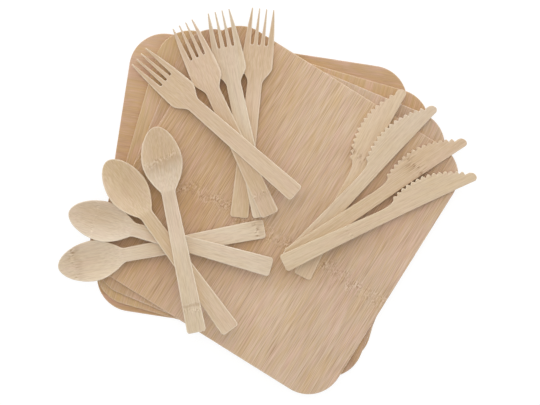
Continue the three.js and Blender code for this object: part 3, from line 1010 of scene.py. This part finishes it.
@dataclass
class Knife(Cutlery):
    """Knife cut flat from a strip, with a toothed blade at +y and a finger-shaped tip.

    Widths are measured from the straight line between the ends of the spine, and places along it from the
    end of the handle.
    """

    length: float = 172.0
    edge: float = 0.35
    end_width: float = 14.8
    waist_width: float = 11.7
    waist_at: float = 86.0
    heel_width: float = 14.3
    heel_at: float = 102.5
    belly_width: float = 19.9
    belly_at: float = 128.0
    tip_width: float = 8.0
    tip_length: float = 8.0
    tip_height: float = 3.0
    tip_over_round: float = 5.0
    tip_under_round: float = 3.0
    spine_hollow: float = 1.2
    tooth_pitch: float = 4.6
    tooth_depth: float = 2.3
    tooth_steps: int = 10
    lanes: int = 8
    handle_points: int = 50
    swell_points: int = 16
    curve_points: int = 200
    turn_points: int = 14
    spine_points: int = 80

    def tooth_roots(self) -> np.ndarray:
        """Evenly spaced roots of the teeth, along two parabolas that meet level at the belly.

        With ends p and q and the corner c level with the belly between them, a parabola is
        (1 - t)^2 p + 2 t (1 - t) c + t^2 q.

        Returns:
            The roots, from the heel to the tip.
        """
        belly = np.array((self.belly_at, self.belly_width))
        heel = np.array((self.heel_at, self.heel_width))
        last = np.array((self.length - self.tip_length, self.tip_width))
        t = np.linspace(0, 1, self.curve_points)[:, None]
        halves = []
        for start, end in ((heel, belly), (belly, last)):
            corner = np.array(((start[0] + end[0]) / 2, self.belly_width))
            halves.append((1 - t) ** 2 * start + 2 * t * (1 - t) * corner + t ** 2 * end)
        curve = np.vstack((halves[0][:-1], halves[1]))
        run = np.concatenate(([0], np.cumsum(np.linalg.norm(np.diff(curve, axis=0), axis=1))))
        places = np.linspace(0, run[-1], round(run[-1] / self.tooth_pitch) + 1)
        return np.column_stack((np.interp(places, run, curve[:, 0]), np.interp(places, run, curve[:, 1])))

    def teeth(self) -> np.ndarray:
        """Teeth, each of which stands 4 d t (1 - t) out from the chord between its roots.

        It does so at the share 1.5 t (1 - t) + t^3 of the chord, which makes it slimmer than a parabola.

        Returns:
            Points along them, from the heel to the tip.
        """
        roots = self.tooth_roots()
        chords = np.diff(roots, axis=0)
        outward = np.column_stack((-chords[:, 1], chords[:, 0]))
        outward = outward / np.linalg.norm(chords, axis=1, keepdims=True)
        t = np.linspace(0, 1, self.tooth_steps + 1)[:-1]
        share = 1.5 * t * (1 - t) + t ** 3
        along = roots[:-1, None] + share[None, :, None] * chords[:, None]
        bumps = along + (4 * self.tooth_depth * t * (1 - t))[None, :, None] * outward[:, None]
        return np.vstack((bumps.reshape(-1, 2), roots[-1:]))

    def blade_side(self) -> np.ndarray:
        """Side of the teeth, measured from the spine.

        Between waist and heel it swells by the cube of t, at the share
        1.5 t (1 - t)^2 + 2.25 t^2 (1 - t) + t^3 of the way. The tip ends in a quarter of an oval.

        Returns:
            Points along it, from the handle's end to the tip.
        """
        corner_x, drawn_in = self.end_corner()
        corner = np.column_stack((corner_x, self.end_width - drawn_in))
        handle_x = np.linspace(self.corner, self.waist_at, self.handle_points)[1:]
        handle_width = lerp(self.end_width, self.waist_width, handle_x / self.waist_at)
        handle = np.column_stack((handle_x, handle_width))
        t = np.linspace(0, 1, self.swell_points)[1:-1]
        swell = np.column_stack((
            lerp(self.waist_at, self.heel_at, 1.5 * t * (1 - t) ** 2 + 2.25 * t ** 2 * (1 - t) + t ** 3),
            lerp(self.waist_width, self.heel_width, t ** 3),
        ))
        turn = np.linspace(math.pi / 2, 0, self.turn_points)[:-1]
        tip = np.column_stack((
            self.length - self.tip_over_round * (1 - np.cos(turn)),
            lerp(self.tip_height, self.tip_width, np.sin(turn)),
        ))
        return np.vstack((corner, handle, swell, self.teeth(), tip))

    def spine_side(self) -> np.ndarray:
        """Spine: a corner, a hollow of 4 h t (1 - t), and a quarter of an oval under the tip.

        Returns:
            Points along it, from the handle's end to the tip.
        """
        corner_x, drawn_in = self.end_corner()
        t = np.linspace(0, 1, self.spine_points)[1:]
        hollow = np.column_stack((
            lerp(self.corner, self.length - self.tip_under_round, t), 4 * self.spine_hollow * t * (1 - t),
        ))
        turn = np.linspace(math.pi / 2, 0, self.turn_points)[1:]
        tip = np.column_stack((
            self.length - self.tip_under_round * (1 - np.cos(turn)), self.tip_height * (1 - np.sin(turn)),
        ))
        return np.vstack((np.column_stack((corner_x, drawn_in)), hollow, tip))

    def sheet(self) -> Sheet:
        """Plan of the knife.

        Returns:
            The sheet, in upright rows between spine and blade, one at each point of the blade's side.
        """
        spine, blade = self.spine_side(), self.blade_side()
        outline = inset(np.vstack((spine, blade[::-1])), self.edge) - (0, self.end_width / 2)
        lower, upper = outline[:len(spine)], outline[len(spine):][::-1]
        right = np.column_stack((upper[:, 0], np.interp(upper[:, 0], lower[:, 0], lower[:, 1])))
        return Sheet.of_rows(right, upper, np.linspace(0, 1, self.lanes + 1))


@dataclass
class Plate(ThinPiece):
    """Flat square sheet with round corners, about its middle."""

    thickness: float = 1.6
    edge: float = 0.45
    side: float = 229.2
    corner: float = 28.5
    corner_steps: int = 20
    middle_steps: int = 40
    border: float = 0.8

    def sheet(self) -> Sheet:
        """Plan of the plate: a square whose corners are quarter circles.

        Returns:
            The sheet, in rows between two sides, with a narrow border along them.
        """
        half, flat = self.side / 2, self.side / 2 - self.corner
        angles = np.linspace(0, math.pi / 2, self.corner_steps + 1)
        corner_x = half - flat - self.corner * np.cos(angles)
        corner_y = flat + self.corner * np.sin(angles)
        start = -half + corner_x
        middle = np.linspace(-flat, flat, self.middle_steps + 1)[1:-1]
        x = np.concatenate((start, middle, -start[::-1]))
        y = np.concatenate((corner_y, np.full(len(middle), half), corner_y[::-1]))
        outline = np.vstack((np.column_stack((x, -y)), np.column_stack((x, y))[::-1]))
        drawn_in = inset(outline, self.edge)
        right, left = drawn_in[:len(x)], drawn_in[len(x):][::-1]
        narrow = self.border / self.side
        shares = np.concatenate(([0], np.linspace(narrow, 1 - narrow, self.middle_steps), [1]))
        return Sheet.of_rows(right, left, shares)


@dataclass(frozen=True)
class Veneer:
    """One plate's form and finish, the side that its grain runs along and the slot of its finish."""

    form: Plate
    grain: GrainSide
    slot: str
    bamboo: Bamboo


@dataclass
class PlateStack:
    """Fanned stack of plates, lowest first."""

    frame: dict[str, Any]
    veneers: dict[str, Veneer]
    pieces: dict[str, bpy.types.Object] = field(default_factory=dict)

    def build(self) -> None:
        """Makes each plate where its solid lies."""
        for node, veneer in self.veneers.items():
            solid = veneer.form.solid()
            own = Bearing(np.array((0, 0, veneer.form.thickness / 2)) * MM, np.eye(3))
            points, _ = node_surface(self.frame["nodes"][node])
            grain = solid.vertices[:, veneer.grain.value]
            self.pieces[node] = lay(f"veneer_{node}", solid, own, Bearing.of_square(points), grain)

    def dress(self) -> None:
        """Gives each plate its bamboo and ties it to the frame."""
        for node, veneer in self.veneers.items():
            finish_piece(self.pieces[node], node, veneer.bamboo)


@dataclass
class Heap:
    """Like pieces of cutlery that lie on each other, with their heads to one side."""

    frame: dict[str, Any]
    form: Cutlery
    heads_towards: tuple[float, float, float]
    prefix: str
    slot: str
    finishes: dict[str, Bamboo]
    pieces: dict[str, bpy.types.Object] = field(default_factory=dict)

    def build(self) -> None:
        """Makes each piece where its solid lies, with its grain along its length."""
        solid = self.form.solid()
        own = Bearing.of_surface(solid.vertices * MM, solid.triangles(), np.array((1.0, 0.0, 0.0)))
        for node in self.finishes:
            points, triangles = node_surface(self.frame["nodes"][node])
            rest = Bearing.of_surface(points, triangles, np.array(self.heads_towards))
            self.pieces[node] = lay(f"{self.prefix}_{node}", solid, own, rest, solid.vertices)

    def dress(self) -> None:
        """Gives each piece its bamboo and ties it to the frame."""
        for node, bamboo in self.finishes.items():
            finish_piece(self.pieces[node], node, bamboo)


def finish_piece(piece: bpy.types.Object, node: str, bamboo: Bamboo) -> None:
    """Dresses a piece and ties it to the frame.

    Args:
        piece: The piece's object.
        node: The solid that it stands for.
        bamboo: Its finish.
    """
    piece.data.materials.append(bamboo.material(f"bamboo_{node}"))
    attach(piece, "root")
    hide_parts(node)
    log.info("%s: %d faces", piece.name, len(piece.data.polygons))


@dataclass
class Studio:
    """White floor, soft light from all sides and more from behind, and a camera that looks straight down.

    Sizes are in metres, and light levels are shares of what makes a white sheet on the floor white, in its
    blue part for the walls and in its red part for the ceiling and the lamp. The walls are a little cool and
    what lights from above a little warm, and together they are white.
    """

    look_at: tuple[float, float, float] = (0.0146, -0.0113, 0.0073)
    view_width: float = 0.4374
    camera_height: float = 3.0
    sensor_width: float = 36.0
    floor_side: float = 6.0
    floor_below: float = 0.0001
    floor_glow: float = 0.9
    floor_shade: float = 0.15
    paper_colour: str = "#f4f4f4"
    white: str = "#ffffff"
    wall_colour: str = "#d8ecff"
    wall_level: float = 3.47
    wall_lean: float = 0.3
    top_colour: str = "#ffe8cc"
    ceiling_level: float = 0.45
    ceiling_from: float = 0.8
    key_level: float = 0.17
    key_heading: float = 100.0
    key_elevation: float = 60.0
    key_distance: float = 1.6
    key_size: float = 1.4

    def shown(self, tree: Tree) -> Socket:
        """Tells the rays that show a surface to the camera, straight, mirrored or through glass.

        Args:
            tree: The node tree of the floor or the world.

        Returns:
            1 for these rays and 0 for others.
        """
        path = add(tree, "LightPath", {})
        mirrored = add(tree, "Math", {
            0: path.outputs["Is Camera Ray"], 1: path.outputs["Is Glossy Ray"],
        }, operation="MAXIMUM")
        either = add(tree, "Math", {
            0: mirrored.outputs[0], 1: path.outputs["Is Transmission Ray"],
        }, operation="MAXIMUM")
        return either.outputs[0]

    def floor(self) -> None:
        """White paper floor that mostly glows where it shows, so that the shadows on it are faint."""
        half = self.floor_side / 2
        corners = [(-half, -half), (half, -half), (half, half), (-half, half)]
        mesh = bpy.data.meshes.new("floor")
        mesh.from_pydata([(x, y, -self.floor_below) for x, y in corners], [], [(0, 1, 2, 3)])
        material = bpy.data.materials.new("white_paper")
        material.use_nodes = True
        tree = material.node_tree
        tree.nodes.remove(tree.nodes["Principled BSDF"])
        paper = add(tree, "BsdfDiffuse", {"Color": linear(self.paper_colour)})
        shade = add(tree, "BsdfDiffuse", {"Color": (*[self.floor_shade] * 3, 1.0)})
        glow = add(tree, "Emission", {"Color": linear(self.white), "Strength": self.floor_glow})
        faint = add(tree, "AddShader", {0: shade.outputs[0], 1: glow.outputs[0]})
        either = add(tree, "MixShader", {
            0: self.shown(tree), 1: paper.outputs[0], 2: faint.outputs[0],
        })
        tree.links.new(either.outputs[0], tree.nodes["Material Output"].inputs["Surface"])
        mesh.materials.append(material)
        floor = bpy.data.objects.new("floor", mesh)
        bpy.context.scene.collection.objects.link(floor)

    def surroundings(self) -> None:
        """Bright walls under a dimmer ceiling, which show as plain white.

        The light passes by a smooth step from the walls at the horizon to the ceiling, which is even from a
        height on that is given as the sine of an elevation. Towards a direction whose y is v, it is
        1 + lean v times that.
        """
        world = bpy.data.worlds.new("studio")
        world.use_nodes = True
        tree = world.node_tree
        place = add(tree, "TexCoord", {})
        axes = add(tree, "SeparateXYZ", {0: place.outputs["Generated"]})
        height = add(tree, "MapRange", {
            "Value": axes.outputs["Z"], "From Max": self.ceiling_from,
        }, interpolation_type="SMOOTHSTEP")
        walls = [self.wall_level * part for part in linear(self.wall_colour)]
        ceiling = [self.ceiling_level * part for part in linear(self.top_colour)]
        light = add(tree, "Mix", {0: height.outputs["Result"], 6: walls, 7: ceiling}, data_type="RGBA")
        lean = add(tree, "Math", {
            0: axes.outputs["Y"], 1: self.wall_lean, 2: 1.0,
        }, operation="MULTIPLY_ADD")
        shown = self.shown(tree)
        strength = add(tree, "Mix", {0: shown, 2: lean.outputs[0], 3: 1.0}, data_type="FLOAT")
        colour = add(tree, "Mix", {
            0: shown, 6: light.outputs[2], 7: linear(self.white),
        }, data_type="RGBA")
        background = tree.nodes["Background"]
        tree.links.new(colour.outputs[2], background.inputs["Color"])
        tree.links.new(strength.outputs[0], background.inputs["Strength"])
        bpy.context.scene.world = world

    def key(self) -> None:
        """One large soft lamp.

        A lamp of P watts at a distance d and an elevation e over the floor lights it to
        P sin(e) / (pi d)^2.
        """
        heading, elevation = math.radians(self.key_heading), math.radians(self.key_elevation)
        away = Vector((
            math.cos(heading) * math.cos(elevation),
            math.sin(heading) * math.cos(elevation),
            math.sin(elevation),
        ))
        lamp = bpy.data.lights.new("key", "AREA")
        lamp.shape = "DISK"
        lamp.size = self.key_size
        lamp.color = linear(self.top_colour)[:3]
        lamp.energy = self.key_level * (math.pi * self.key_distance) ** 2 / math.sin(elevation)
        key = bpy.data.objects.new("key", lamp)
        key.location = Vector(self.look_at) + away * self.key_distance
        key.rotation_euler = away.to_track_quat("Z", "Y").to_euler()
        bpy.context.scene.collection.objects.link(key)

    def camera(self) -> None:
        """Long lens straight over the set, whose picture is view_width wide at the top plate."""
        data = bpy.data.cameras.new("camera")
        data.sensor_width = self.sensor_width
        data.lens = self.sensor_width * self.camera_height / self.view_width
        data.clip_end = 4 * self.camera_height
        camera = bpy.data.objects.new("camera", data)
        camera.location = Vector(self.look_at) + Vector((0, 0, self.camera_height))
        bpy.context.scene.collection.objects.link(camera)
        bpy.context.scene.camera = camera


PLATES = {
    "plate_1": Veneer(Plate(side=227.6), GrainSide.X, "plate_tan", PlanedBamboo(
        {-108.0: "#c19b76", 65.0: "#bf9b75"}, axis=ToneAxis.ALONG,
        tint_and_shade_patches=(TintOrShadePatch(-107.0, 97.0, 45.0, "#dcc0a6"),), seed=1.0, drawn=0.3)),
    "plate_2": Veneer(Plate(), GrainSide.Y, "plate_tan", PlanedBamboo(
        {-108.0: "#c9ab81", 70.0: "#c8a57a"}, seed=2.0, drawn=0.5)),
    # plate_3's dark brown patch, where it shows beside plate_4's lower right edge, is painted shadow of
    # plate_4.
    "plate_3": Veneer(Plate(), GrainSide.Y, "plate_tan", PlanedBamboo(
        {-108.0: "#bf9f7d", 50.0: "#cdb49a"}, tint_and_shade_patches=(TintOrShadePatch(-89.0, 112.0, 36.0, "#9c7350", 0.8),),
        seed=3.0, drawn=0.7)),
    "plate_4": Veneer(Plate(side=232.3), GrainSide.Y, "plate_pale", PlanedBamboo(
        {-110.0: "#cba983", -60.0: "#cba983", -15.0: "#d4b89a", 45.0: "#d0b495", 90.0: "#caaf93"},
        bands=(NodeBand(-19.0, slant=0.03, width=9.0, dark=0.55, light=0.35),),
        # The patches at (-30, 30) by knife_1's handle end and at (-36, -1) between spoon_3's and spoon_4's
        # handles are painted shade; the one at (-32, -55) beside spoon_1's and fork_1's handles is the
        # plate's own darker tone and painted shade.
        tint_and_shade_patches=(TintOrShadePatch(-32.0, -55.0, 38.0, "#c59b6b", 0.65), TintOrShadePatch(-105.0, -80.0, 40.0, "#dfbf9b"),
                TintOrShadePatch(-71.0, 23.0, 50.0, "#e0c6ac", 0.6), TintOrShadePatch(-30.0, 30.0, 28.0, "#c59f75"),
                TintOrShadePatch(-36.0, -1.0, 25.0, "#c59f75"), TintOrShadePatch(6.0, 36.0, 32.0, "#e2c3a6", 0.4),
                TintOrShadePatch(45.0, 82.0, 52.0, "#dcb79c")),
        seed=4.0, drawn=0.9)),
}
FORKS = {
    "fork_1": PressedBamboo({60.0: "#d6bd9f", 127.0: "#cdb291"}, seed=5.0, edge=0.35),
    "fork_2": PressedBamboo({15.0: "#cfb596", 22.0: "#ceb390", 120.0: "#d2b79a"}, bands=(
        NodeBand(19.0, width=3.5, dark=0.6, light=0.35, shade=0.1),), seed=6.0, edge=0.35),
    "fork_3": PressedBamboo({85.0: "#dfcdb3", 126.0: "#d1bda2"}, seed=7.0, edge=0.35),
    "fork_4": PressedBamboo({12.0: "#d5bc98", 95.0: "#dbc1a5", 125.0: "#cdb291"}, seed=8.0, edge=0.35),
}
SPOONS = {
    "spoon_1": PressedBamboo({8.0: "#d1bea0", 90.0: "#d7c3a9", 136.0: "#c9b59b", 146.0: "#ceb492"}, bands=(
        NodeBand(143.0, slant=-0.27, width=5.0, dark=0.35, light=0.35, shade=0.18),
        NodeBand(18.5, width=3.0, dark=0.5, light=0.4),
        NodeBand(24.0, width=2.0, shade=0.25)), seed=9.0, edge=0.3),
    "spoon_2": PressedBamboo({25.0: "#d1b99b", 128.0: "#cdb491", 151.0: "#cfb692"}, seed=10.0, edge=0.3),
    "spoon_3": PressedBamboo({28.0: "#d6c3a9", 132.0: "#d4c1a7", 158.0: "#cfbaa0"}, bands=(
        NodeBand(148.0, dark=0.1, light=0.35),), seed=11.0, edge=0.3),
    "spoon_4": PressedBamboo({26.0: "#e1cfb5", 135.0: "#dcc9ae", 164.0: "#d3c0a6"}, bands=(
        NodeBand(156.5, width=4.5, dark=0.6, light=0.15, shade=0.12, fleck=3.5),
        NodeBand(5.5, width=3.5, dark=0.6, light=0.4, shade=0.08, fleck=3.0)), seed=12.0, edge=0.3),
}
KNIVES = {
    "knife_1": PressedBamboo({75.0: "#dbc3a2", 132.0: "#dbc3a4"}, bands=(
        NodeBand(107.0, width=4.0, dark=0.7, light=0.2, fleck=3.5),), seed=13.0),
    "knife_2": PressedBamboo({130.0: "#d7c1a3", 164.0: "#d9c5ad"}, seed=14.0),
    "knife_3": PressedBamboo({82.0: "#cfb693", 147.0: "#d1b697"}, bands=(
        NodeBand(126.0, slant=-0.27, width=5.0, dark=1.0, light=0.2, fleck=5.0),), seed=15.0),
    "knife_4": PressedBamboo({30.0: "#d7c1a1", 80.0: "#d6be9e", 132.0: "#d8c1a1"}, bands=(
        NodeBand(59.0, width=3.0, dark=0.3, light=0.2),), seed=16.0),
}


def main() -> None:
    """Builds and dresses the set, and sets up the studio."""
    logging.basicConfig(level=logging.INFO, format="%(name)s: %(message)s")
    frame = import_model()
    studio = Studio()
    studio.camera()
    studio.surroundings()
    studio.key()
    studio.floor()
    assemblies = [
        PlateStack(frame, PLATES),
        Heap(frame, Fork(), (0.0, 1.0, 0.0), "pressed", "fork", FORKS),
        Heap(frame, Spoon(), (-1.0, 0.0, 0.0), "pressed", "spoon", SPOONS),
        Heap(frame, Knife(), (1.0, 0.0, 0.0), "cut", "knife", KNIVES),
    ]
    for assembly in assemblies:
        assembly.build()
        assembly.dress()
    bpy.context.scene.view_settings.view_transform = "Standard"


if __name__ == "__main__":
    main()
